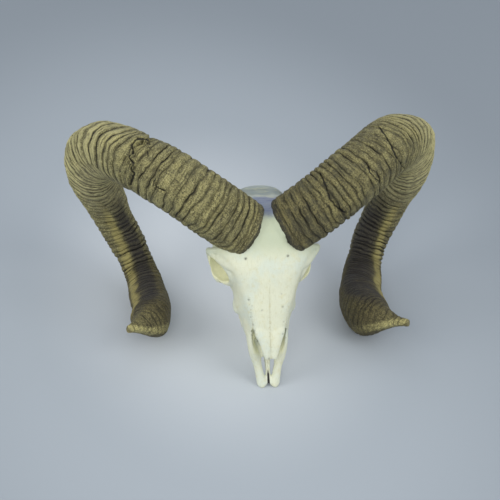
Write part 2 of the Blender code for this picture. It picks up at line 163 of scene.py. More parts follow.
# Round lumps: centre, half sizes
CONDYLE = ((13, 68, -97), (10, 9, 12))
EAR_BULLA = ((22, 46, -98), (8, 13, 11))
EAR_PORCH = ((36, 50, -82), (8, 6, 6))
SOCKET_FLOOR = ((36, -8, -60), (13, 15, 5.5))
SOCKET_SHELF = ((45.5, -8, -59), (11, 19, 5.5))
SOCKET_CORNER = ((39, -23, -52), (6, 5, 7))
CHEEK_LUMP = ((30, -51, -47), (5, 10, 8))
GUM_RIDGE = ((19.5, -42, -77), (6.5, 38, 4.5))
# Hollows: centre, half sizes and, where one lies askew, its turns about z and y
SOCKET_CUT = ((44, -7, -41.5), (27, 17.5, 20), (-27, -10))
BRAIN_HOLE = ((0, 82, -86), (9, 26, 9))
THROAT = ((0, 2, -86), (9, 24, 9))
PALATE_VAULT = ((0, -52, -80), (17, 42, 9))
NASAL_PASSAGE = ((0, -100, -31), (15.5, 46, 8.2))
NASAL_NOTCH = ((15.3, -94, -24), (2.3, 21, 9.5), (-8, 0))
EAR_HOLE = ((44, 50, -82), (12, 2.6, 2.6))
NO_TURN = (0.0, 0.0)
# Where the colour of a hollow ends, as a share of its size, and over how much it fades
HOLLOW_EDGE = (1.06, 0.12)

# Cheek teeth, on the right: gum height, crown height, and along the row y, x, length, width
GUM_Z = -76.0
CROWN_Z = -92.0
CHEEK_TEETH = (
    (-74, 16.5, 9, 8),
    (-64, 18.5, 10, 9),
    (-53.5, 20.5, 10, 11),
    (-42, 21.5, 12, 12),
    (-28.5, 22, 14, 12),
    (-13, 21, 16, 11),
)

# The nose leans a little to the viewer's right: by how much at its tip, and from where
NOSE_LEAN = 1.6
LEAN_FROM = 60.0

# Sutures: plane, points along it, depths across it, width, and how far its teeth swing
PLANES = {"xy": (0, 1, 2), "yz": (1, 2, 0), "xz": (0, 2, 1)}
BROW_SEAM = ((-50, -30), (-30, -31), (-12, -29), (0, -34), (12, -29), (30, -31), (50, -30))
NASAL_EDGE = ((25, -27), (21.5, -48), (17.5, -79), (15.5, -93))
CHEEKBONE = ((34.5, -67.5), (34.5, -46), (66, -46))
SUTURES = {
    "brow": ("xy", BROW_SEAM, (12, -67.4), 0.02, 0.5),
    "nasal_edge_right": ("xy", NASAL_EDGE, (8, -26), 0.05, 0.3),
    "nasal_edge_left": ("xy", tuple((-x, y) for x, y in NASAL_EDGE), (8, -26), 0.05, 0.3),
    "under_nasals": ("yz", ((-26, -15), (-60, -19), (-92, -24)), (-26, 26), 0.1, 0),
    "midline": ("xy", ((0, -33.6), (0, -128)), (8, -98), 0.04, 0.15),
    "palate_midline": ("xy", ((0, 0), (0, -34.5)), (-66, -98), 0.1, 0.2),
    "nose_slit": ("xy", ((0, -125), (0, -150)), (-30, -50.5), 2.0, 0.2),
    "behind_slit": ("xy", ((0, -126), (0, -150)), (-50, -70), 0.08, 0),
    "under_brow": ("yz", ((-36, -67), (24, -66), (44, -60), (54, -48), (58, -12)), (-43, 43),
                   0.1, 0),
    "behind_palate": ("yz", ((-4, -65.9), (-3, -104)), (-40, 40), 0.1, 0),
    "nape": ("yz", ((65, -20), (62, -50), (58, -70), (56, -116)), (-46, 46), 0.1, 0),
    "nose_bones": ("yz", ((-81.5, -21.5), (-91, -50.5), (-91.5, -68)), (-40, 40), 0.04, 0),
    "arch_right": ("yz", ((22, -50), (26, -84)), (42, 66), 0.1, 0),
    "arch_left": ("yz", ((22, -50), (26, -84)), (-66, -42), 0.1, 0),
    "cheekbone_right": ("xz", CHEEKBONE, (-31.8, 15), 0.05, 0),
    "cheekbone_left": ("xz", tuple((-x, z) for x, z in CHEEKBONE), (-31.8, 15), 0.05, 0),
    "behind_cheek_right": ("yz", ((15, -45.9), (15, -68)), (34.4, 46.2), 0.05, 0),
    "behind_cheek_left": ("yz", ((15, -45.9), (15, -68)), (-46.2, -34.4), 0.05, 0),
}
# A point near the middle of each bone, under the name of the solid that it stands for
BONES = {
    "frontal": (0, 15, -35),
    "nasal_left": (-8, -81, -17),
    "nasal_right": (8, -81, -17),
    "maxilla_left": (-18, -45, -55),
    "maxilla_right": (18, -45, -55),
    "premaxilla_left": (-12, -108, -44),
    "premaxilla_right": (12, -108, -44),
    "cheekbone_left": (-46, 0, -58),
    "cheekbone_right": (46, 0, -58),
    "braincase": (0, 38, -82),
    "occiput": (0, 67, -86),
}
SPAN_STEPS = 5
ROD_SIDES = 20
LUMP_SIDES = 24
CLAY_GRAIN = 0.9
SOFTEN_STEPS = 6
RIM_SOFTEN_STEPS = 2
CRUMB_CORNERS = 200
SIDE_NAMES = {-1: "left", 1: "right"}


# ---------------------------------------------------------------- bench tools

def only(*things):
    """Pick just these, the first one active, with everything else left alone."""
    if bpy.context.object and bpy.context.object.mode != "OBJECT":
        bpy.ops.object.mode_set(mode="OBJECT")
    bpy.ops.object.select_all(action="DESELECT")
    for thing in things:
        thing.select_set(True)
    bpy.context.view_layer.objects.active = things[0]
    return things[0]


def work(thing, kind, **settings):
    """Put one modifier on a piece and apply it."""
    only(thing)
    modifier = thing.modifiers.new(kind.lower(), kind)
    for setting, value in settings.items():
        setattr(modifier, setting, value)
    bpy.ops.object.modifier_apply(modifier=modifier.name)


def edit_all(thing, tool, **settings):
    """Use one tool of Edit mode on the whole of a piece."""
    only(thing)
    bpy.ops.object.mode_set(mode="EDIT")
    bpy.ops.mesh.select_all(action="SELECT")
    tool(**settings)
    bpy.ops.object.mode_set(mode="OBJECT")


def discard(*things):
    for thing in things:
        bpy.data.objects.remove(thing, do_unlink=True)


def corners_of(thing):
    """The piece's corner points as rows of x, y, z in millimetres."""
    points = np.empty(len(thing.data.vertices) * 3)
    thing.data.vertices.foreach_get("co", points)
    return points.reshape(-1, 3) / MM


def normals_of(thing):
    directions = np.empty(len(thing.data.vertices) * 3, np.float32)
    thing.data.vertex_normals.foreach_get("vector", directions)
    return directions.reshape(-1, 3).astype(float)


def move_corners(thing, points):
    thing.data.vertices.foreach_set("co", (points * MM).ravel())
    thing.data.update()


def brush_on(thing, name, values):
    """Keep a value or a place for each corner of a piece, for its finish to read."""
    kind, field = ("FLOAT", "value") if values.ndim == 1 else ("FLOAT_VECTOR", "vector")
    layer = thing.data.attributes.new(name, kind, "POINT")
    layer.data.foreach_set(field, np.ascontiguousarray(values, np.float32).ravel())


def smooth_rows(rows, steps):
    """Rows of numbers filled in along a Catmull-Rom curve, with `steps` in each span."""
    table = np.array(rows, float)
    padded = np.vstack([2 * table[0] - table[1], table, 2 * table[-1] - table[-2]])
    filled = []
    for span in range(len(table) - 1):
        a, b, c, d = padded[span:span + 4]
        for step in range(steps):
            t = step / steps
            filled.append(0.5 * (2 * b + (c - a) * t + (2 * a - 5 * b + 4 * c - d) * t ** 2
                                 + (3 * b - a - 3 * c + d) * t ** 3))
    filled.append(table[-1])
    return np.array(filled)


def smooth_loop(table):
    """The same along a closed curve, with its first row once more at its end."""
    wrapped = np.vstack([table[-1], table, table[0], table[1]])
    return smooth_rows(wrapped, SPAN_STEPS)[SPAN_STEPS:-SPAN_STEPS]


def on_side(rows, mirrored):
    """A table of the right side as it stands, or turned over for the left."""
    table = np.array(rows, float)
    if mirrored:
        table[:, 0] *= -1
    return table


def ease(values, start, width):
    """0 up to a start and 1 from a width further on, with a soft rise between them."""
    share = np.clip((values - start) / width, 0.0, 1.0)
    return share * share * (3 - 2 * share)


def grain(points, size, seed=0.0):
    """Soft random values from -1 to 1 at points in millimetres, with spots of one size."""
    spots = points / size + seed * 17.3
    return np.array([noise.noise(spot) for spot in spots.tolist()])


def length_of(rows):
    return np.linalg.norm(rows, axis=-1)


def unit(rows):
    return rows / np.maximum(length_of(rows), 1e-9)[..., None]


def rest_matrix():
    """From the skull's frame to the model's frame, in which it lies on the floor."""
    tipped = Matrix.Rotation(math.radians(REST_PITCH), 4, "X")
    rolled = Matrix.Rotation(math.radians(REST_ROLL), 4, "Y")
    return Matrix.Translation(Vector(SKULL_AT) * MM) @ rolled @ tipped


def camera_turn():
    """The turn from the skull's frame to the camera's."""
    yaw = Matrix.Rotation(math.radians(CAMERA_YAW), 3, "Y")
    roll = Matrix.Rotation(math.radians(CAMERA_ROLL), 3, "Z")
    return roll @ yaw


def in_picture(points):
    """Where points of the skull's frame come in the picture, in its pixels."""
    seen = points @ np.array(camera_turn()).T
    scale = LENS / SENSOR * PICTURE / (CAMERA_FAR - seen[:, 2])
    return np.stack([PICTURE_CENTRE[0] + seen[:, 0] * scale,
                     PICTURE_CENTRE[1] - seen[:, 1] * scale], axis=1)


def facing_camera(points, directions):
    """How far a surface faces the camera: 1 straight on, 0 edge on, less behind."""
    eye = np.array(camera_turn().transposed() @ Vector((0, 0, CAMERA_FAR)))
    return (unit(eye - points) * directions).sum(axis=1)


def distance_to_line(spots, line):
    """How far flat spots are from a line through points, and how far along it they come."""
    line = np.array(line, float)
    nearest = np.full(len(spots), 1e9)
    along = np.zeros(len(spots))
    run = 0.0
    for here, there in zip(line, line[1:]):
        step = there - here
        size = np.hypot(*step)
        share = np.clip(((spots - here) @ step) / size ** 2, 0, 1)
        gap = np.hypot(*(spots - here - share[:, None] * step).T)
        along = np.where(gap < nearest, run + share * size, along)
        nearest = np.minimum(gap, nearest)
        run += size
    return nearest, along / run


# ---------------------------------------------------------------- bone

def lump(shape, mirrored=False):
    """A rounded lump: a ball at its size and place, turned about y and then about z."""
    centre, half_sizes, turn = (*shape, NO_TURN)[:3]
    flip = -1 if mirrored else 1
    about_z, about_y = (math.radians(angle) * flip for angle in turn)
    bpy.ops.mesh.primitive_uv_sphere_add(
        segments=LUMP_SIDES, ring_count=LUMP_SIDES // 2 + 2, radius=MM, scale=half_sizes,
        location=(flip * centre[0] * MM, centre[1] * MM, centre[2] * MM),
        rotation=(0, about_y, about_z))
    return bpy.context.object


def pull_through(rings, name):
    """A closed shaft: the first ring is filled and then extruded on from ring to ring."""
    mesh = bpy.data.meshes.new(name)
    bm = bmesh.new()
    loops = [[bm.verts.new(Vector(point) * MM) for point in ring] for ring in rings]
    for here, there in zip(loops, loops[1:]):
        for side in range(len(here)):
            after = (side + 1) % len(here)
            bm.faces.new((here[side], here[after], there[after], there[side]))
    for end in (loops[0], loops[-1]):
        bm.faces.new(end)
    bmesh.ops.recalc_face_normals(bm, faces=bm.faces)
    bm.to_mesh(mesh)
    bm.free()
    thing = bpy.data.objects.new(name, mesh)
    bpy.context.scene.collection.objects.link(thing)
    return thing


def rod_stations(table):
    """The places of the rings of a rod, from rows of x, y, z, half width and half height."""
    centres = table[:, :3]
    run = np.abs(centres[-1] - centres[0])
    wide = Vector((0, 1, 0)) if run[0] > max(run[1], run[2]) else Vector((1, 0, 0))
    stations = []
    for centre, tangent, halves in zip(centres, np.gradient(centres, axis=0), table[:, 3:]):
        along = Vector(tangent).normalized()
        across = (wide - along * wide.dot(along)).normalized()
        turn = Matrix((across, along.cross(across), along)).transposed().to_4x4()
        stations.append(Matrix.Translation(Vector(centre) * MM) @ turn
                        @ Matrix.Diagonal((halves[0] * MM, halves[1] * MM, MM, 1.0)))
    return stations


def rod(rows, mirrored=False):
    """A rod of bone: a disc at its first place, extruded and moved on from ring to ring."""
    stations = rod_stations(smooth_rows(on_side(rows, mirrored), SPAN_STEPS))
    bpy.ops.mesh.primitive_circle_add(vertices=ROD_SIDES, radius=1.0, fill_type="NGON")
    thing = bpy.context.object
    thing.data.transform(stations[0])
    bpy.ops.object.mode_set(mode="EDIT")
    bpy.ops.mesh.select_all(action="SELECT")
    for here, there in zip(stations, stations[1:]):
        bpy.ops.mesh.extrude_region()
        bm = bmesh.from_edit_mesh(thing.data)
        bmesh.ops.transform(bm, matrix=there @ here.inverted(),
                            verts=[corner for corner in bm.verts if corner.select])
    bpy.ops.mesh.select_all(action="SELECT")
    bpy.ops.mesh.normals_make_consistent(inside=False)
    bpy.ops.object.mode_set(mode="OBJECT")
    return thing


def socket_rim(mirrored=False):
    """The thick ring of bone round an eye."""
    table = smooth_loop(on_side(SOCKET_RIM, mirrored))
    middle = table[:, :3].mean(axis=0)
    along = unit(np.gradient(table[:, :3], axis=0))
    outward = table[:, :3] - middle
    outward = unit(outward - along * (outward * along).sum(axis=1)[:, None])
    up = np.cross(along, outward)
    turns = np.linspace(0, math.tau, ROD_SIDES, endpoint=False)
    rings = [centre[:3] + centre[3] * (np.outer(np.cos(turns), out) + np.outer(np.sin(turns), high))
             for centre, out, high in zip(table, outward, up)]
    return pull_through(rings, "socket_rim")


def head():
    """The head from nose to nape, lofted through HEAD_RINGS."""
    flat_rows = [np.hstack([y, 0, ridge, np.ravel(side), 0, floor])
                 for y, ridge, *side, floor in HEAD_RINGS]
    rings = []
    for row in smooth_rows(flat_rows, SPAN_STEPS):
        right = row[1:].reshape(-1, 2)
        left = right[-2:0:-1] * (-1, 1)
        outline = smooth_loop(np.vstack([right, left]))[:-1]
        rings.append([(x, row[0], z) for x, z in outline])
    return pull_through(rings, "head")


def bone_clay():
    """All the skull's forms, joined and fused into one skin."""
    forms = [head()]
    for mirrored in (False, True):
        forms.append(socket_rim(mirrored))
        for rows in (CHEEK_BAR, ARCH, BROW_WEDGE, BROW_PLATE, HORN_BOSS, JAW_PROCESS, PTERYGOID,
                     NOSE_ROD, NASAL_BLADE):
            forms.append(rod(rows, mirrored))
        for shape in (CONDYLE, EAR_BULLA, EAR_PORCH, CHEEK_LUMP, SOCKET_FLOOR, SOCKET_SHELF,
                      SOCKET_CORNER, GUM_RIDGE):
            forms.append(lump(shape, mirrored))
    forms += [rod(NAPE_CREST), rod(NOSE_FLOOR)]
    return fused(forms, SOFTEN_STEPS)


def fused(forms, soften):
    """Forms joined and fused into one skin, which is softened a little."""
    clay = only(*forms)
    bpy.ops.object.join()
    bpy.ops.object.transform_apply()
    work(clay, "REMESH", mode="VOXEL", voxel_size=CLAY_GRAIN * MM)
    work(clay, "SMOOTH", iterations=soften)
    return clay


def hollow_out(clay):
    """Eye sockets, nose and the slits beside its bones, palate, throat, brain hole and ears.
    The thin bars that stand in the nose come after, and all the rims are softened."""
    cutters = [lump(shape) for shape in (BRAIN_HOLE, THROAT, PALATE_VAULT, NASAL_PASSAGE)]
    for mirrored in (False, True):
        cutters += [lump(shape, mirrored) for shape in (SOCKET_CUT, NASAL_NOTCH, EAR_HOLE)]
    for cutter in cutters:
        only(cutter)
        bpy.ops.object.transform_apply()
        carve_away(clay, cutter)
    thin_bars = [rod(rows, mirrored) for rows in (PALATE_ROD, PLATE_PRONG)
                 for mirrored in (False, True)]
    return fused([clay, *thin_bars], RIM_SOFTEN_STEPS)


def carve_away(thing, cutter):
    work(thing, "BOOLEAN", operation="DIFFERENCE", solver="MANIFOLD", object=cutter)
    discard(cutter)


def suture_saw(plane, points, depths, width, swing):
    """A thin wall along a suture, whose edge swings to and fro as the bones' teeth do."""
    line = smooth_line(points, 1.1) if swing else np.array(points, float)
    runs = np.diff(line, axis=0)
    sides = unit(np.stack([-runs[:, 1], runs[:, 0]], axis=1))
    sides = np.vstack([sides[:1], sides, sides[-1:]])
    offsets = sides[:-1] + sides[1:]
    offsets /= (offsets * sides[1:]).sum(axis=1)[:, None]
    if swing:
        sway = np.array([noise.noise((x * 0.9, y * 0.9, 3.1)) + (-1) ** step * 0.35
                         for step, (x, y) in enumerate(line)])
        line = line + offsets * (sway * swing)[:, None]
    axes = list(PLANES[plane])
    start, end = depths
    rings = []
    for near, far in zip(line - offsets * width / 2, line + offsets * width / 2):
        ring = np.zeros((4, 3))
        ring[:, axes] = [(*near, start), (*far, start), (*far, end), (*near, end)]
        rings.append(ring)
    return pull_through(rings, "saw")


def smooth_line(points, step):
    """Points about `step` apart along straight runs between the given ones."""
    filled = []
    for here, there in zip(points, points[1:]):
        here, there = np.array(here, float), np.array(there, float)
        count = max(1, round(np.hypot(*(there - here)) / step))
        filled += [here + (there - here) * index / count for index in range(count)]
    filled.append(np.array(points[-1], float))
    return np.array(filled)


# Small holes in the face, by their place in the picture: u, v, radius and depth
FACE_PITS = (
    (245.7, 258.8, 1.1, 1.8),
    (288.0, 256.0, 1.0, 1.6),
    (248.7, 300.0, 0.9, 1.0),
    (262.0, 310.5, 0.8, 0.8),
    (282.7, 307.0, 0.8, 1.0),
    (281.5, 294.0, 0.6, 0.6),
    (252.0, 306.0, 0.6, 0.6),
    (250.6, 317.0, 0.6, 0.7),
    (253.0, 325.0, 0.7, 0.9),
    (254.4, 331.0, 0.6, 0.9),
    (257.0, 341.0, 0.7, 0.9),
    (283.6, 322.0, 0.6, 0.7),
    (282.6, 334.0, 0.7, 0.9),
    (285.0, 338.0, 0.6, 0.7),
    (268.0, 358.6, 0.8, 1.0),
)


def pitted(spots, toward):
    """How much painted shade spots of the picture get in a small hole, and how deep they lie in it.
    """
    dark, depth = np.zeros(len(spots)), np.zeros(len(spots))
    for u, v, radius, deep in FACE_PITS:
        away = np.hypot(spots[:, 0] - u, spots[:, 1] - v) / radius
        here = np.exp(-away ** 2) * (toward > 0.3)
        dark, depth = np.maximum(dark, min(deep, 1.5) / 1.5 * here), depth + deep * here
    return dark, depth


def face_marks(clay):
    """Nerve holes, faint swells and pores on the bone's surface."""
    points, directions = corners_of(clay), normals_of(clay)
    swell = 0.25 * grain(points, 9.0) + 0.10 * grain(points, 3.5, 1.0)
    depth = pitted(in_picture(points), facing_camera(points, directions))[1]
    move_corners(clay, points + directions * (swell - depth)[:, None])


def part_bones(clay):
    """The fused skull sawn at its sutures and parted into its bones, by name."""
    for plane, points, depths, width, swing in SUTURES.values():
        carve_away(clay, suture_saw(plane, points, depths, width, swing))
    edit_all(clay, bpy.ops.mesh.separate, type="LOOSE")
    bones = {}
    for bone in list(bpy.context.selected_objects):
        points = corners_of(bone)
        if len(points) < CRUMB_CORNERS:
            discard(bone)
            continue
        middle = (points.min(axis=0) + points.max(axis=0)) / 2
        name = min(BONES, key=lambda known: length_of(np.array(BONES[known]) - middle))
        bone.name = f"{name}_bone"
        bones[name] = bone
    if len(bones) < len(BONES):
        raise RuntimeError(f"bones not parted: {sorted(set(BONES) - set(bones))}")
    return bones


def inside(points, shape):
    """1 for points in a hollow's lump, grown a little, and 0 for the rest, with a soft edge."""
    centre, half_sizes, turn = (*shape, NO_TURN)[:3]
    about_z, about_y = (math.radians(angle) for angle in turn)
    turned = Matrix.Rotation(about_z, 3, "Z") @ Matrix.Rotation(about_y, 3, "Y")
    local = (points - centre) @ np.array(turned) / half_sizes
    return 1 - ease(length_of(local), *HOLLOW_EDGE)


def bone_stains_and_painted_light(bone):
    """What the bone's finish needs: its own place, its hollows, paler partly as painted light,
    its browner insides, its sutures, and painted shade in its small holes and nose slit, on
    its upper forehead, between its horns and on the nape's edge.
    """
    points = corners_of(bone)
    sockets = np.maximum(inside(points, SOCKET_CUT), inside(points * (-1, 1, 1), SOCKET_CUT))
    nose = inside(points, NASAL_PASSAGE) * (1 - ease(-points[:, 1], 102, 8))
    under = np.maximum.reduce([inside(points, THROAT), inside(points, BRAIN_HOLE),
                               inside(points, PALATE_VAULT)])
    seam, stipple = np.zeros(len(points)), np.zeros(len(points))
    for name, strength, first in (("nasal_edge_right", 0.6, 0.5), ("nasal_edge_left", 1.0, 0.5),
                                  ("midline", 0.45, -0.3)):
        plane, line, depths = SUTURES[name][:3]
        axes = list(PLANES[plane])
        gap, along = distance_to_line(points[:, axes[:2]], line)
        deep = ease(points[:, axes[2]], min(depths) - 1, 1.0)
        seam = np.maximum(seam, strength * np.exp(-(gap / 0.55) ** 2) * deep
                          * ease(along, first, 0.4))
        stipple = np.maximum(stipple, np.exp(-(gap / 2.2) ** 2) * deep * ease(along, 0.15, 0.3))
    spots, toward = in_picture(points), facing_camera(points, normals_of(bone))
    # Painted shade: the walls of the nose slit near the midline are painted dark
    slit = (1 - ease(np.abs(points[:, 0]), 1.1, 0.4)) * ease(-points[:, 1], 126, 3)
    brush_on(bone, "place", points)
    # Hollows: paler and yellower, partly the bone's own tone, partly painted light against their
    # shade
    brush_on(bone, "hollow", np.maximum(sockets, nose))
    brush_on(bone, "under", under)
    brush_on(bone, "suture", seam)
    brush_on(bone, "stipple", stipple)
    # Painted shade: near-black in the small holes and the nose slit
    brush_on(bone, "hole", np.maximum(pitted(spots, toward)[0], slit))
    # Painted shade, by height in the picture on surfaces that face the camera: the upper forehead a
    # little darker, the crown between the horns bluish and the nape's edge grey
    height = spots[:, 1] + 1.5 * grain(points, 6.0, 41.0)
    upper = ease(toward, 0.0, 0.3) * ease(points[:, 2], -76, 12)
    brush_on(bone, "forehead", upper * ease(height, 205, 10) * (1 - ease(height, 240, 26)))
    brush_on(bone, "between_horns", upper * ease(height, 195, 3) * (1 - ease(height, 211, 10)))
    brush_on(bone, "nape_edge", upper * (1 - ease(height, 194, 3)))


def lean_nose(thing):
    points = corners_of(thing)
    points[:, 0] += NOSE_LEAN * ease(-points[:, 1], LEAN_FROM, 80.0)
    move_corners(thing, points)


# ---------------------------------------------------------------- teeth

def cheek_tooth():
    """One cheek tooth, 1 x 1 x 1: ribs down its outer face and two crescents in its crown."""
    bpy.ops.mesh.primitive_cube_add(size=1.0)
    tooth = bpy.context.object
    tooth.name = "cheek_tooth"
    edit_all(tooth, bpy.ops.mesh.subdivide, number_cuts=11)
    points = corners_of(tooth) * MM
    x, y, z = points.T.copy()
    from_axis = np.maximum(np.abs(x), np.abs(y))
    round_off = np.clip(from_axis * 2, 0, 1)
    corner = np.hypot(x, y) / np.maximum(from_axis, 1e-6)
    pull = 1 - 0.13 * (corner - 1) / 0.414 * round_off
    ribs = 1 + 0.09 * np.cos(y * 4 * math.pi) * ease(x, 0.2, 0.3) * round_off
    taper = 1 - 0.10 * ease(z, -0.1, 0.6)
    crown = 1 - ease(z, -0.5, 0.12)
    cusp = 0.10 * np.cos(y * 4 * math.pi) * np.cos(x * 2.2 * math.pi) + 0.05 * x
    points = np.stack([x * pull * ribs * taper, y * pull * taper, z - cusp * crown], axis=1)
    move_corners(tooth, points / MM)
    work(tooth, "SUBSURF", levels=1, render_levels=1)
    return tooth


def tooth_row(pattern, mirrored):
    """Six copies of the tooth, each at its size and place in the row, as one piece."""
    row = []
    for y, x, long, wide in CHEEK_TEETH:
        tooth = pattern.copy()
        tooth.data = pattern.data.copy()
        bpy.context.scene.collection.objects.link(tooth)
        size = Matrix.Diagonal((wide * MM, (long - 0.6) * MM, (GUM_Z - CROWN_Z + 8) * MM, 1.0))
        place = Matrix.Translation(Vector((x, y, (GUM_Z + CROWN_Z + 8) / 2)) * MM) @ size
        if mirrored:
            place = Matrix.Diagonal((-1.0, 1.0, 1.0, 1.0)) @ place
        tooth.data.transform(place)
        row.append(tooth)
    teeth = only(*row)
    bpy.ops.object.join()
    edit_all(teeth, bpy.ops.mesh.normals_make_consistent, inside=False)
    teeth.name = "cheek_teeth_left" if mirrored else "cheek_teeth_right"
    brush_on(teeth, "place", corners_of(teeth))
    return teeth


# ---------------------------------------------------------------- horns

# Cracks and notches, by their place in the picture: line, half width and depth
HORN_CRACKS = {
    "left": (
        (((149, 138), (138, 137.5), (131.7, 143), (132.5, 152), (128, 157), (133, 163), (130, 169),
          (133, 173), (130, 185)), 1.0, 2.6),
        (((150.8, 140), (147.5, 148), (147.5, 155)), 0.6, 1.0),
        (((157, 187), (161, 190), (165, 191)), 0.7, 1.2),
        (((152, 186), (156, 176), (160, 168)), 0.5, 0.9),
    ),
    "right": (
        (((378, 125), (388, 139), (398, 159), (404, 168)), 0.7, 1.6),
        (((320, 173), (326, 187), (330, 199), (338, 208), (346, 213.5)), 0.8, 1.8),
        (((366, 159), (370, 173), (380, 182)), 0.6, 1.0),
    ),
}
# Where the sheath has flaked: place and half sizes in the picture, and depth
HORN_FLAKES = {
    "left": (
        ((132, 124), (28, 12), 3.2),
        ((149, 134), (8, 5), 1.8),
        ((129, 173), (4, 11), 1.3),
        ((161, 190), (5, 3), 1.2),
    ),
    "right": (
        ((404, 325), (3, 2), 2.5),
        ((323, 176), (4, 3), 1.0),
    ),
}
HORN_SEEDS = {"left": 3, "right": 8}
# The foot's edge: how far it runs on over the bone, its bulge, and the turn where that is most
HORN_FEET = {"left": (2.0, 6.0, -20.0), "right": (-1.0, 4.5, -35.0)}
FOOT_DROP = 3.0
FOOT_ROUND = 5.0
# How the lower limbs differ from the tables: shares of the length, how far the limb leans to the
# viewer's right there, and how full its section is
LIMB_LEAN = {
    "left": ((0.0, 0.5, 0.6, 0.66, 0.72, 0.77, 0.82, 0.87, 0.93, 1.0),
             (0.0, 0.0, -1.8, 0.2, 1.0, -1.0, -5.0, -5.0, -2.0, 0.0)),
    "right": ((0.0, 0.5, 0.6, 0.66, 0.72, 0.77, 0.82, 0.87, 0.93, 1.0),
              (0.0, 0.0, 2.3, 0.9, 2.4, 3.5, 2.2, 1.8, 0.5, 0.0)),
}
LIMB_FULLNESS = {
    "left": ((0.0, 0.5, 0.6, 0.66, 0.7, 0.74, 0.79, 0.83, 0.9, 0.95, 0.98, 1.0),
             (1.0, 0.99, 0.94, 0.93, 0.84, 0.86, 0.94, 0.97, 1.0, 1.15, 1.2, 1.0)),
    "right": ((0.0, 0.5, 0.6, 0.66, 0.7, 0.74, 0.79, 0.83, 0.87, 0.92, 0.96, 1.0),
              (1.0, 1.0, 0.99, 0.97, 0.93, 1.05, 1.11, 1.18, 1.22, 1.1, 1.0, 1.0)),
}
# The left horn's step, where its sheath overlaps the next length: heights and places in the
# picture, how far the next length lies lower, over how much it comes level again, how far from
# the horn's base it reaches, and at which height in the picture and over how much it dies away
STEP_LINE = ((120, 138, 140.5, 143, 150, 165, 190), (151, 150, 146, 134, 131, 133, 129))
STEP_DROP = 4.2
STEP_FADE = 24.0
STEP_REACH = 210.0
STEP_LOW_END = (162.0, 22.0)
# Gaps between the growth grooves and between the finer creases, at shares of the length, and
# how far before the base and past the tip the lines are set out
GAP_SHARES = (0.0, 0.35, 0.6, 1.0)
GROOVE_GAPS = (8.5, 7.5, 6.5, 5.0)
CREASE_GAPS = (2.9, 2.7, 2.4, 2.0)
LINES_BEFORE = 30.0
LINES_PAST = 20.0
# The plug that cuts a horn's seat: its share of the length, its grain, and how much slimmer it is
PLUG_SHARE = 0.13
PLUG_RINGS = 60
PLUG_SIDES = 120
PLUG_DROP = 1.2
# How high the ridges stand, by shares of the length
RIDGE_STRENGTH = ((0.0, 0.12, 0.3, 0.45, 0.65, 0.85, 1.0), (1.0, 0.9, 0.8, 0.9, 0.9, 0.5, 0.2))
# The keel's line down the lower half: shares of the length, and turns round the horn there
KEEL_LINE = ((0.50, 0.60, 0.68, 0.75, 0.85, 0.95), (200, 232, 261, 280, 286, 278))
# The dark stripe beside the keel, stain and painted shade: how far its middle is from the keel, and
# half its width
HORN_DUSK = {"left": (46, 30), "right": (68, 54)}
# How much darker the horn is, by shares of the length
HORN_DARKENING = {
    "left": ((0.0, 0.15, 0.3, 0.38, 0.5, 0.62, 0.8, 0.93, 0.99),
             (0.4, 0.35, 0.25, 0.1, 0.0, 0.25, 0.9, 1.0, 0.4)),
    "right": ((0.0, 0.15, 0.3, 0.36, 0.42, 0.52, 0.62, 0.8, 0.93, 0.99),
              (0.9, 0.65, 0.4, 0.0, 0.0, 0.0, 0.6, 0.95, 1.0, 0.5)),
}
# Where the ridges are paler on their crests at the bend, from bleaching and a painted highlight,
# with painted shade between them, by shares of the length
BLEACHED_AND_LIT = ((0.26, 0.33, 0.44, 0.52), (0.0, 1.0, 1.0, 0.0))
# The pale band along each horn's end: its line in the picture, up to where it is palest, half
# its width, and how pale it is where the line starts
HORN_END_BANDS = {
    "left": (((169, 327), (160, 330), (150, 331), (140, 330), (129, 327.5)), 3.8, 0.5),
    "right": (((356, 329), (368, 328), (380, 325.5), (392, 323), (407, 322)), 4.0, 0.2),
}


def horn_path(side):
    """Even points along a horn's middle, from base to tip, and their distances along it."""
    share = np.arange(len(CURL)) / (len(CURL) - 1)
    angle, radius, out = np.array(CURL, float).T
    lower, flare = ease(share, 0.25, 0.35), ease(share, 0.88, 0.12)
    turn = np.radians(angle)
    stations = np.stack([side * out + LOWER_SPREAD * lower + TIP_FLARE * flare,
                         CURL_AXIS_Y + radius * np.sin(turn) - side * LOWER_DROP * lower,
                         CURL_AXIS_Z + radius * np.cos(turn)], axis=1)
    points = smooth_rows(stations, 30)
    run = np.concatenate([[0.0], np.cumsum(length_of(np.diff(points, axis=0)))])
    points[:, 0] += eased_table(run / run[-1], LIMB_LEAN[SIDE_NAMES[side]])
    return points, run


def eased_table(shares, table):
    """Values at shares of the length, along a smooth curve through a table's own."""
    known, values = smooth_rows(np.transpose(table), 6).T
    return np.interp(shares, known, values)


def foot_reach(name, turn):
    """How far the sheath's foot runs on over the bone, with its wavy, frayed edge."""
    least, bulge, middle = HORN_FEET[name]
    ring = 31.0 * np.stack([np.cos(turn), np.sin(turn), np.zeros(len(turn))], axis=1)
    reach = least + bulge * np.maximum(0, np.cos(turn - math.radians(middle)))
    return reach + 1.7 * grain(ring, 8.0, least) + 1.1 * grain(ring, 2.6, bulge)


def foot_drop(from_edge):
    """How far the sheath's foot rounds down towards its edge."""
    return FOOT_DROP * (1 - np.clip(from_edge / FOOT_ROUND, 0, 1)) ** 2


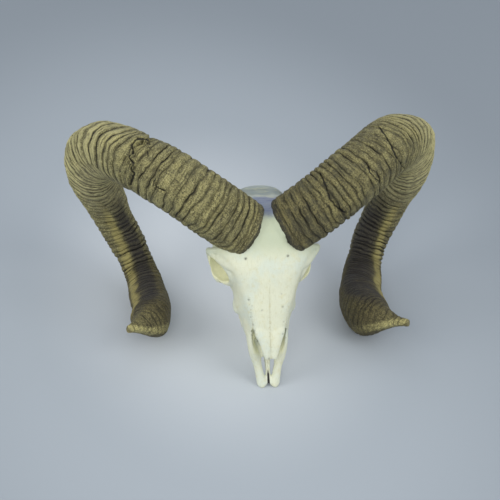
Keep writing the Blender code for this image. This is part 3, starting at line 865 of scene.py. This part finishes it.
def horn_surface(side, share, turn):
    """Points along the horn's middle, the reach from there to its plain surface, and where
    each point comes on the horn if it were straight, with its distance from the foot's edge."""
    points, run = horn_path(side)
    sections = smooth_rows(HORN_SECTIONS, 8)
    foot = foot_reach(SIDE_NAMES[side], turn)
    at = share * (run[-1] + foot) - foot

    def on_path(distance):
        inner = np.stack([np.interp(distance, run, points[:, axis]) for axis in range(3)], axis=-1)
        return inner + unit(points[3] - points[0]) * np.minimum(distance, 0)[:, None]

    middle = on_path(at)
    along = unit(on_path(at + 2) - on_path(at - 2))
    width, depth, twist = (np.interp(at / run[-1], sections[:, 0], sections[:, column])
                           for column in (1, 2, 3))
    fullness = eased_table(at / run[-1], LIMB_FULLNESS[SIDE_NAMES[side]])
    width, depth = width * fullness, depth * fullness
    brow = middle - (0, CURL_AXIS_Y, CURL_AXIS_Z)
    brow[:, 0] = 0
    brow = unit(brow - along * (brow * along).sum(axis=1)[:, None])
    outer = np.cross(brow, along) * side
    cosine, sine = np.cos(np.radians(twist))[:, None], np.sin(np.radians(twist))[:, None]
    brow, outer = brow * cosine + outer * sine, outer * cosine - brow * sine
    front = np.sign(np.cos(turn)) * np.abs(np.cos(turn)) ** BROW_FLATNESS
    wide = np.sin(turn) * (1 + KEEL_NARROWING * np.cos(turn))
    reach = brow * (front * depth / 2)[:, None] + outer * (wide * width / 2)[:, None]
    straight = np.stack([at, np.cos(turn) * width / 2, np.sin(turn) * width / 2], axis=1)
    return middle, reach, straight, at + foot


def growth_lines(dice, length, gaps):
    """Distances of grooves or creases from the horn's base, unevenly spaced."""
    lines = [-LINES_BEFORE]
    while lines[-1] < length + LINES_PAST:
        gap = np.interp(lines[-1] / length, GAP_SHARES, gaps)
        lines.append(lines[-1] + gap * dice.uniform(0.6, 1.4))
    return np.array(lines)


def growth_ridges(straight, length, seed):
    """Height of the growth ridges, and the marks from which the finish draws their crests,
    the grooves between them and the fine creases."""
    dice = np.random.default_rng(seed)
    grooves = growth_lines(dice, length, GROOVE_GAPS)
    creases = growth_lines(dice, length, CREASE_GAPS)
    tall = dice.uniform(0.45, 1.25, len(grooves))
    cut = dice.uniform(0.3, 1.2, len(grooves))
    lean = dice.uniform(0.6, 1.35, len(grooves))
    thin = dice.uniform(0.0, 1.0, len(creases))
    at = straight[:, 0]
    sway = 2.7 * grain(straight, 34.0, seed) + 1.9 * grain(straight, 12.0, seed + 1)
    sway += 0.7 * grain(straight, 4.0, seed + 5)
    ridge = np.interp(at + sway, grooves, np.arange(len(grooves)))
    number = np.minimum(ridge.astype(int), len(grooves) - 2)
    part = ridge - number
    gap = np.diff(grooves)[number]
    patchy = grain(straight * (0.6, 1, 1), 13.0, seed + 2)
    low = np.where(part < 0.5, cut[number], cut[number + 1]) * np.clip(0.8 + 1.3 * patchy, 0.0, 1.6)
    groove = np.exp(-(np.minimum(part, 1 - part) * gap / 0.8) ** 2) * low
    crest = np.sin(math.pi * part ** lean[number]) ** 0.65
    swell = tall[number] * (1 + 0.5 * grain(straight * (0.4, 1, 1), 15.0, seed + 6))
    crease = np.interp(at + 1.25 * sway, creases, np.arange(len(creases)))
    line = np.minimum(crease.astype(int), len(creases) - 2)
    edge = crease - line
    faint = np.where(edge < 0.5, thin[line], thin[line + 1])
    faint *= np.clip(0.45 + 1.6 * grain(straight * (0.7, 1, 1), 10.0, seed + 3), 0.0, 1.2)
    fine = np.exp(-(np.minimum(edge, 1 - edge) * 2.6 / 0.6) ** 2) * faint
    strength = np.interp(at / length, *RIDGE_STRENGTH)
    height = strength * (1.75 * swell * (crest - 0.6) - 1.3 * groove - 0.6 * fine)
    return height, {"ridge": ridge, "ridge_gap": gap, "groove": low * (0.5 + 0.5 * strength),
                    "crease": crease, "faint": faint, "crest": crest}


def crack_depth(name, straight, spots, toward):
    """Depth of the cracks and flakes that the picture shows, and how far off the cracks are."""
    ragged = spots + np.stack([0.9 * grain(straight, 3.2, seed)
                               + 0.5 * grain(straight, 1.5, seed + 2)
                               for seed in (21.0, 22.0)], axis=1)
    drop, clear = np.zeros(len(spots)), np.full(len(spots), 3.0)
    for line, half_width, depth in HORN_CRACKS[name]:
        gap = distance_to_line(ragged, line)[0]
        wide = np.maximum(half_width * (1 + 0.6 * grain(straight, 6.0, 25.0)), 0.3)
        away = np.where(toward > 0.05, gap / wide, 3.0)
        drop, clear = np.maximum(drop, depth * np.exp(-away ** 2)), np.minimum(clear, away)
    for (u, v), (across, up), depth in HORN_FLAKES[name]:
        away = np.hypot((ragged[:, 0] - u) / across, (ragged[:, 1] - v) / up)
        drop += depth * (1 - ease(away, 0.4, 0.8)) * ease(toward, -0.7, 0.5)
    if name == "left":
        past = spots[:, 0] - np.interp(ragged[:, 1], *STEP_LINE)
        past = np.where(straight[:, 0] < STEP_REACH, past, -9.0)
        low_end = 1 - 0.8 * ease(spots[:, 1], *STEP_LOW_END)
        drop += (STEP_DROP * low_end * ease(past, -0.5, 2.5)
                 * np.exp(-np.maximum(past, 0) / STEP_FADE))
    return drop, clear


def horn_end(name, straight, spots, toward):
    """The pale, frayed band along a horn's end, from 0 to 1."""
    line, half_width, least = HORN_END_BANDS[name]
    gap, along = distance_to_line(spots + 1.5 * grain(straight, 2.6, 31.0)[:, None], line)
    pale = least + (1 - least) * ease(along, 0.0, 0.7)
    return (1 - ease(gap, half_width * 0.5, half_width * 0.8)) * pale * ease(toward, -0.3, 0.3)


def horn_sheath(side):
    """One horn: a sheet wrapped round the horn's path, ridged, cracked and closed."""
    name = SIDE_NAMES[side]
    bpy.ops.mesh.primitive_grid_add(x_subdivisions=SHEATH_RINGS, y_subdivisions=SHEATH_SIDES,
                                    size=1.0)
    sheath = bpy.context.object
    sheath.name = f"horn_{name}"
    flat = corners_of(sheath) * MM
    share, turn = flat[:, 0] + 0.5, (flat[:, 1] + 0.75) * math.tau
    middle, reach, straight, from_edge = horn_surface(side, share, turn)
    length = horn_path(side)[1][-1]
    seed = HORN_SEEDS[name]
    height, marks = growth_ridges(straight, length, seed)
    height += 0.6 * grain(straight * (0.8, 1, 1), 7.5, seed + 4) * (1 - 0.5 * ease(share, 0.8, 0.2))
    height += 0.25 * grain(straight * (6, 1, 1), 9.0, seed + 7)
    height -= foot_drop(from_edge)
    outward = unit(reach)
    points = middle + reach + outward * height[:, None]
    spots, toward = in_picture(points), facing_camera(points, outward)
    drop, clear = crack_depth(name, straight, spots, toward)
    points -= outward * drop[:, None]
    move_corners(sheath, points)
    off_keel = (np.degrees(turn) - np.interp(share, *KEEL_LINE) + 180) % 360 - 180
    off_keel += 7 * grain(straight, 9.0, seed + 8)
    lower = ease(share, 0.5, 0.1)
    dusk_middle, dusk_half = HORN_DUSK[name]
    marks["straight"] = straight
    marks["crack_gap"] = clear
    marks["lower"] = lower
    marks["keel"] = lower * np.exp(-(off_keel / 13) ** 4) * (1 - ease(share, 0.9, 0.05))
    # The dark stripe: partly stain, partly painted shade
    marks["keel_stripe_stain_and_shade"] = lower * np.exp(-(np.abs(off_keel + dusk_middle) / dusk_half) ** 5)
    marks["keel_stripe_stain_and_shade"] *= 1 - 0.7 * ease(share, 0.88, 0.06)
    marks["last"] = ease(share, 0.78, 0.08)
    marks["bleached_and_lit"] = np.interp(share, *BLEACHED_AND_LIT)
    # Painted shade: greyer on the side away from the brow, where the light grazes
    marks["back"] = ease(-np.cos(turn), 0.15, 0.5)
    marks["darkening"] = np.interp(share, *HORN_DARKENING[name])
    marks["foot"] = 1 - ease(from_edge + 3.0 * grain(straight, 5.0, seed + 9), 4.0, 4.5)
    marks["worn_end"] = horn_end(name, straight, spots, toward)
    for mark, values in marks.items():
        brush_on(sheath, mark, values)
    close_sheath(sheath)
    return sheath


def close_sheath(sheath):
    """Merge the long edge of the wrapped sheet and close its two ends."""
    only(sheath)
    bpy.ops.object.mode_set(mode="EDIT")
    bpy.ops.mesh.select_all(action="SELECT")
    bpy.ops.mesh.remove_doubles(threshold=0.00002)
    bpy.ops.mesh.select_all(action="DESELECT")
    bpy.ops.mesh.select_non_manifold(extend=False, use_wire=False, use_multi_face=False,
                                     use_non_contiguous=False, use_verts=False)
    bpy.ops.mesh.fill_holes(sides=0)
    bpy.ops.mesh.select_all(action="SELECT")
    bpy.ops.mesh.normals_make_consistent(inside=False)
    bpy.ops.object.mode_set(mode="OBJECT")


def horn_plug(side):
    """The horn's foot, a little slimmer, so that the seat it cuts leaves no gap round the horn."""
    share, turn = np.meshgrid(np.linspace(0.0, PLUG_SHARE, PLUG_RINGS),
                              np.linspace(0, math.tau, PLUG_SIDES, endpoint=False),
                              indexing="ij")
    middle, reach, _, from_edge = horn_surface(side, share.ravel(), turn.ravel())
    drop = PLUG_DROP + foot_drop(from_edge)
    points = middle + reach - unit(reach) * drop[:, None]
    return pull_through(points.reshape(*share.shape, 3), "horn_plug")


# ---------------------------------------------------------------- finishes

class Amount:
    """A shader value that Python's own signs can reckon with."""

    def __init__(self, finish, socket):
        self.finish = finish
        self.socket = socket

    def reckon(self, operation, *values):
        made = self.finish.node("ShaderNodeMath", {"operation": operation}, *values)
        return Amount(self.finish, made.outputs[0])

    def __add__(self, other):
        return self.reckon("ADD", self, other)

    __radd__ = __add__

    def __sub__(self, other):
        return self.reckon("SUBTRACT", self, other)

    def __rsub__(self, other):
        return self.reckon("SUBTRACT", other, self)

    def __mul__(self, other):
        return self.reckon("MULTIPLY", self, other)

    __rmul__ = __mul__

    def __mod__(self, turn_back):
        """To and fro between 0 and a value: 0 at each whole number where that is one half."""
        return self.reckon("PINGPONG", self, turn_back)

    def between(self, low, high):
        """0 below low and 1 above high, with a soft rise between them."""
        made = self.finish.node("ShaderNodeMapRange", {"interpolation_type": "SMOOTHSTEP"},
                                self, low, high, 0.0, 1.0)
        return Amount(self.finish, made.outputs[0])


class Finish:
    """A procedural material, made node by node."""

    def __init__(self, name):
        self.material = bpy.data.materials.new(name)
        self.material.use_nodes = True
        self.tree = self.material.node_tree
        self.shader = self.tree.nodes["Principled BSDF"]

    def node(self, kind, settings=None, *values, **named):
        """A node of a type: its settings first, then the values or links of its sockets."""
        made = self.tree.nodes.new(kind)
        for setting, value in (settings or {}).items():
            setattr(made, setting, value)
        places = [(made.inputs[index], value) for index, value in enumerate(values)]
        for name, value in named.items():
            found = [socket for socket in made.inputs
                     if socket.identifier == name or socket.name.replace(" ", "_") == name]
            places.append((found[0], value))
        for socket, value in places:
            self.feed(socket, value)
        return made

    def feed(self, socket, value):
        if isinstance(value, Amount):
            value = value.socket
        if isinstance(value, bpy.types.NodeSocket):
            self.tree.links.new(value, socket)
        else:
            socket.default_value = value

    def kept(self, name, output="Fac"):
        """What brush_on kept on the piece under a name."""
        made = self.node("ShaderNodeAttribute", {"attribute_name": name})
        return Amount(self, made.outputs[output])

    def spread(self, place, stretch):
        """A place scaled along its axes, to set how long a pattern's spots are."""
        made = self.node("ShaderNodeMapping", {"vector_type": "POINT"}, Vector=place, Scale=stretch)
        return made.outputs[0]

    def specks(self, place, size, detail=3.0, roughness=0.55):
        """Soft noise from 0 to 1 with spots of a size in the place's own unit."""
        made = self.node("ShaderNodeTexNoise", {"noise_dimensions": "3D"}, Vector=place,
                         Scale=1.0 / size, Detail=detail, Roughness=roughness)
        return Amount(self, made.outputs["Fac"])

    def blend(self, share, first, second, way="MIX"):
        made = self.node("ShaderNodeMix", {"data_type": "RGBA", "blend_type": way},
                         Factor_Float=share, A_Color=first, B_Color=second)
        return made.outputs[2]

    def coats(self, colour, *coats):
        """Picture colours laid over a first one, each with the share that it covers."""
        for share, shade in coats:
            colour = self.blend(share, colour, tint(*shade))
        return colour

    def relief(self, height, distance):
        made = self.node("ShaderNodeBump", None, Strength=1.0, Distance=distance, Height=height)
        self.feed(self.shader.inputs["Normal"], made.outputs[0])


def tint(red, green, blue):
    """A colour from the 0 to 255 of a picture, as the shader wants it."""
    parts = (value / 255 for value in (red, green, blue))
    linear = (part / 12.92 if part <= 0.04045 else ((part + 0.055) / 1.055) ** 2.4
              for part in parts)
    return (*linear, 1.0)


def dry_bone():
    """Dry, matt, cream-white bone, yellower along its sutures and browner in the throat, brain
    hole and palate; its hollows paler and yellower, partly its own tone and partly painted
    light; painted shade greyer on the upper forehead, bluish between the horns, grey on the
    nape's edge and dark in small holes and the nose slit."""
    finish = Finish("dry_bone")
    place = finish.kept("place", "Vector").socket
    broad = finish.specks(place, 26.0, 2.0)
    mottle = finish.specks(place, 5.0, 4.0)
    pores = finish.specks(place, 0.9, 2.0)
    fibres = finish.specks(finish.spread(place, (1.0, 0.16, 1.0)), 1.1, 3.0)
    creases = finish.specks(finish.spread(place, (0.12, 1.0, 1.0)), 1.6, 2.0)
    suture = finish.kept("suture") * (mottle * 1.6).between(0.35, 1.0)
    shade, nape = finish.kept("between_horns"), finish.kept("nape_edge")
    colour = finish.blend(broad.between(0.4, 0.65), tint(215, 216, 192), tint(207, 213, 197))
    colour = finish.coats(
        colour,
        (mottle.between(0.5, 0.75) * 0.6, (206, 202, 164)),
        (fibres.between(0.5, 0.7) * 0.3, (190, 190, 160)),
        (pores.between(0.6, 0.75) * 0.45, (180, 176, 144)),
        # Painted shade: the upper forehead darker and greener
        (finish.kept("forehead") * 0.85, (182, 190, 162)),
        # Hollows: paler and yellower, partly the bone's own tone, partly painted light against
        # their shade
        (finish.kept("hollow") * 0.7, (232, 230, 188)),
        (finish.kept("under") * 0.7, (176, 164, 128)),
        (finish.kept("stipple") * pores.between(0.56, 0.66) * 0.6, (150, 138, 92)),
        (suture * 0.75, (158, 145, 90)),
        # Painted shade: bluish on the crown between the horns and grey on the nape's edge, streaked
        # along the creases
        (shade * (0.75 + creases * 0.25), (116, 126, 156)),
        (shade * creases.between(0.55, 0.7) * 0.4, (88, 94, 136)),
        (nape * 0.9, (142, 152, 154)),
        (nape * creases.between(0.54, 0.62) * 0.5, (186, 188, 160)),
        # Painted shade: near-black in the small holes and the nose slit
        (finish.kept("hole") * 0.95, (46, 40, 44)))
    finish.feed(finish.shader.inputs["Base Color"], colour)
    finish.feed(finish.shader.inputs["Roughness"], 0.62 - broad * 0.14)
    finish.relief(fibres * 0.5 + pores * -0.6 + mottle * 0.8, 0.00025)
    return finish.material


def tooth_enamel():
    """Ivory enamel with soft brown stains."""
    finish = Finish("tooth_enamel")
    place = finish.kept("place", "Vector").socket
    stain = finish.specks(place, 4.0, 3.0)
    colour = finish.blend(stain.between(0.45, 0.75), tint(222, 214, 188), tint(150, 128, 86))
    finish.feed(finish.shader.inputs["Base Color"], colour)
    finish.feed(finish.shader.inputs["Roughness"], 0.3 + stain * 0.2)
    finish.relief(stain, 0.0002)
    return finish.material


def horn_keratin():
    """Ridged, dull olive-brown horn, darker towards its base and down its lower limbs: ochre
    crests, partly painted highlight; paler at the bend from bleaching and a painted highlight;
    dark grooves and cracks, partly their own and partly painted shade; painted shade grey on
    the side away from the brow; a pale keel with a dark stripe beside it, partly stain and
    partly painted shade; a worn end and a grey foot."""
    finish = Finish("horn_keratin")
    straight = finish.kept("straight", "Vector").socket
    lower = finish.kept("lower")
    broad = finish.specks(straight, 26.0, 3.0)
    mottle = finish.specks(finish.spread(straight, (1.5, 0.7, 0.7)), 5.0, 5.0, 0.6)
    threads = finish.specks(finish.spread(straight, (1.0, 0.09, 0.09)), 0.9, 3.0, 0.65)
    specks = finish.specks(straight, 1.3, 3.0, 0.75)
    grit = specks - 0.5
    from_groove = (finish.kept("ridge") % 0.5) * finish.kept("ridge_gap") + grit * 2.4
    groove = finish.kept("groove") * (1 - from_groove.between(0.05, 0.75))
    from_crease = (finish.kept("crease") % 0.5) * 2.6 + grit * 1.8
    crease = finish.kept("faint") * (1 - from_crease.between(0.05, 0.5))
    crack = 1 - (finish.kept("crack_gap") + grit * 1.2).between(0.5, 1.3)
    crest = finish.kept("crest")
    worn = finish.kept("worn_end") * (0.25 + (1 - specks.between(0.45, 0.58)) * 0.75)
    patches = finish.specks(straight, 12.0, 2.0)
    bleached_and_lit, darkening = finish.kept("bleached_and_lit"), finish.kept("darkening")
    colour = finish.blend(mottle.between(0.35, 0.68), tint(110, 103, 60), tint(170, 163, 110))
    colour = finish.coats(
        colour,
        # Ochre crests: partly the horn's own paler tone, partly painted highlight
        (crest.between(0.5, 1.0) * broad.between(0.35, 0.62) * 0.65, (200, 191, 126)),
        (lower * 0.4, (116, 107, 68)),
        (threads.between(0.5, 0.64) * 0.7, (74, 68, 42)),
        (specks.between(0.54, 0.61) * 0.8, (54, 50, 34)),
        (0.65 - specks.between(0.36, 0.46) * 0.65, (216, 209, 154)),
        (patches.between(0.48, 0.6) * darkening * (1 - lower) * 0.5, (78, 80, 68)),
        # Painted shade: greyer on the upper horn's side away from the brow
        (finish.kept("back") * (1 - lower) * 0.35, (126, 120, 104)),
        # At the bend: crests paler from bleaching and a painted highlight, with painted shade
        # between them
        (bleached_and_lit * crest.between(0.5, 1.0) * mottle.between(0.3, 0.55) * 0.7, (216, 207, 150)),
        (bleached_and_lit * (1 - crest.between(0.1, 0.6)) * broad.between(0.3, 0.6) * 0.5, (86, 79, 54)))
    # Darker towards the base and down the lower limbs
    colour = finish.blend(darkening, colour, tint(160, 154, 142), "MULTIPLY")
    colour = finish.coats(
        colour,
        # The dark stripe beside the keel: partly stain, partly painted shade
        (finish.kept("keel_stripe_stain_and_shade") * (1.0 - crest * 0.22), (34, 30, 36)),
        (finish.kept("keel") * mottle.between(0.2, 0.5) * 0.8, (172, 160, 98)),
        (worn * 0.9, (206, 196, 132)),
        (finish.kept("foot") * (0.5 + specks.between(0.4, 0.58) * 0.45), (44, 43, 38)))
    # Dark lines in the fine creases, growth grooves and cracks: partly the horn's own, partly
    # painted shade
    thin_line = finish.blend(finish.kept("last"), tint(50, 43, 27), tint(132, 122, 84))
    colour = finish.blend(crease * 0.75, colour, thin_line)
    colour = finish.coats(colour, (groove * 0.9, (34, 29, 19)), (crack * 0.95, (20, 16, 10)))
    finish.feed(finish.shader.inputs["Base Color"], colour)
    finish.feed(finish.shader.inputs["Roughness"], 0.55 + mottle * 0.25)
    height = threads * 0.9 + mottle + specks * 1.8 - crease * 0.9 - groove * 1.2 - crack
    finish.relief(height, 0.001)
    return finish.material


# ---------------------------------------------------------------- putting it together

def dress(thing, material, slot, *nodes):
    """Lay a piece in the rest pose, give it its finish and hide the imported solids that it stands
    for.
    """
    thing.data.transform(rest_matrix())
    points = corners_of(thing)
    points[:, 2] = np.maximum(points[:, 2], 0.0)
    move_corners(thing, points)
    thing.data.materials.clear()
    thing.data.materials.append(material)
    only(thing)
    bpy.ops.object.shade_smooth_by_angle(angle=math.radians(50))
    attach(thing, "root")
    if nodes:
        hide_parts(*nodes)


def make_horns():
    keratin = horn_keratin()
    for side, name in SIDE_NAMES.items():
        dress(horn_sheath(side), keratin, "horn",
              *(f"horn_{name}_{part}" for part in ("base", "shoulder", "bend", "end")))


def make_skull():
    bone, enamel = dry_bone(), tooth_enamel()
    clay = hollow_out(bone_clay())
    face_marks(clay)
    for side in SIDE_NAMES:
        carve_away(clay, horn_plug(side))
    for name, piece in part_bones(clay).items():
        bone_stains_and_painted_light(piece)
        lean_nose(piece)
        dress(piece, bone, "bone", name)
    pattern = cheek_tooth()
    for mirrored in (False, True):
        row = tooth_row(pattern, mirrored)
        lean_nose(row)
        dress(row, enamel, "bone")
    discard(pattern)


# Lights in the camera's frame: place in metres, power in watts and size in metres
LIGHTS = {
    "key": ((-0.25, 0.1, 2.1), 9.0, 0.8),
    "left_fill": ((-1.5, 0.4, 1.3), 13.0, 1.4),
    "right_fill": ((1.5, 0.4, 1.3), 12.0, 1.4),
}
LIGHT_COLOUR = (1.0, 0.99, 0.94)
LIGHT_AIM = (0, 0, -0.08)
AIR_COLOUR = (0.90, 0.95, 1.0, 1.0)
AIR_STRENGTH = 0.78


def table_top():
    """A pale floor that fills the view, with a painted pool of light under the skull and painted
    shade further out.
    """
    bpy.ops.mesh.primitive_grid_add(x_subdivisions=40, y_subdivisions=40, size=8.0,
                                    location=(0, 0, -0.0002))
    floor = bpy.context.object
    floor.name = "floor"
    bpy.ops.object.transform_apply()
    finish = Finish("pale_floor")
    place = finish.node("ShaderNodeTexCoord").outputs["Object"]
    centred = finish.node("ShaderNodeMapping", {"vector_type": "POINT"}, Vector=place,
                          Location=(0.03, -0.06, 0.0), Scale=(1.0, 0.62, 1.0)).outputs[0]
    away = finish.node("ShaderNodeVectorMath", {"operation": "LENGTH"}, centred).outputs["Value"]
    away = Amount(finish, away)
    # Painted light: brightest under the skull, darker further out
    colour = finish.blend(away.between(0.05, 0.24), tint(206, 211, 217), tint(164, 171, 179))
    colour = finish.blend(away.between(0.2, 0.5), colour, tint(142, 149, 157))
    finish.feed(finish.shader.inputs["Base Color"], colour)
    finish.shader.inputs["Roughness"].default_value = 0.9
    finish.shader.inputs["Specular IOR Level"].default_value = 0.1
    floor.data.materials.append(finish.material)


def soft_box(name, away, power, size):
    """A large soft light in the camera's frame, aimed at the skull."""
    light = bpy.data.lights.new(name, "AREA")
    light.shape = "DISK"
    light.size = size
    light.energy = power
    light.color = LIGHT_COLOUR
    lamp = bpy.data.objects.new(name, light)
    bpy.context.scene.collection.objects.link(lamp)
    place = rest_matrix() @ camera_turn().transposed().to_4x4() @ Vector(away)
    aim = rest_matrix() @ Vector(LIGHT_AIM)
    lamp.location = place
    lamp.rotation_euler = (aim - place).to_track_quat("-Z", "Y").to_euler()


def studio():
    """The air, the lights and the camera."""
    scene = bpy.context.scene
    scene.view_settings.view_transform = "Standard"
    scene.view_settings.look = "None"
    world = bpy.data.worlds.new("studio_air")
    scene.world = world
    world.use_nodes = True
    air = world.node_tree.nodes["Background"]
    air.inputs["Color"].default_value = AIR_COLOUR
    air.inputs["Strength"].default_value = AIR_STRENGTH
    for name, setting in LIGHTS.items():
        soft_box(name, *setting)
    camera = bpy.data.cameras.new("camera")
    camera.lens = LENS
    camera.sensor_width = SENSOR
    camera.shift_x = (PICTURE / 2 - PICTURE_CENTRE[0]) / PICTURE
    camera.shift_y = (PICTURE_CENTRE[1] - PICTURE / 2) / PICTURE
    camera.clip_end = 20
    eye = bpy.data.objects.new("camera", camera)
    scene.collection.objects.link(eye)
    turned = camera_turn().transposed()
    place = turned.to_4x4()
    place.translation = turned @ Vector((0, 0, CAMERA_FAR * MM))
    eye.matrix_world = rest_matrix() @ place
    scene.camera = eye


make_horns()
make_skull()
table_top()
studio()
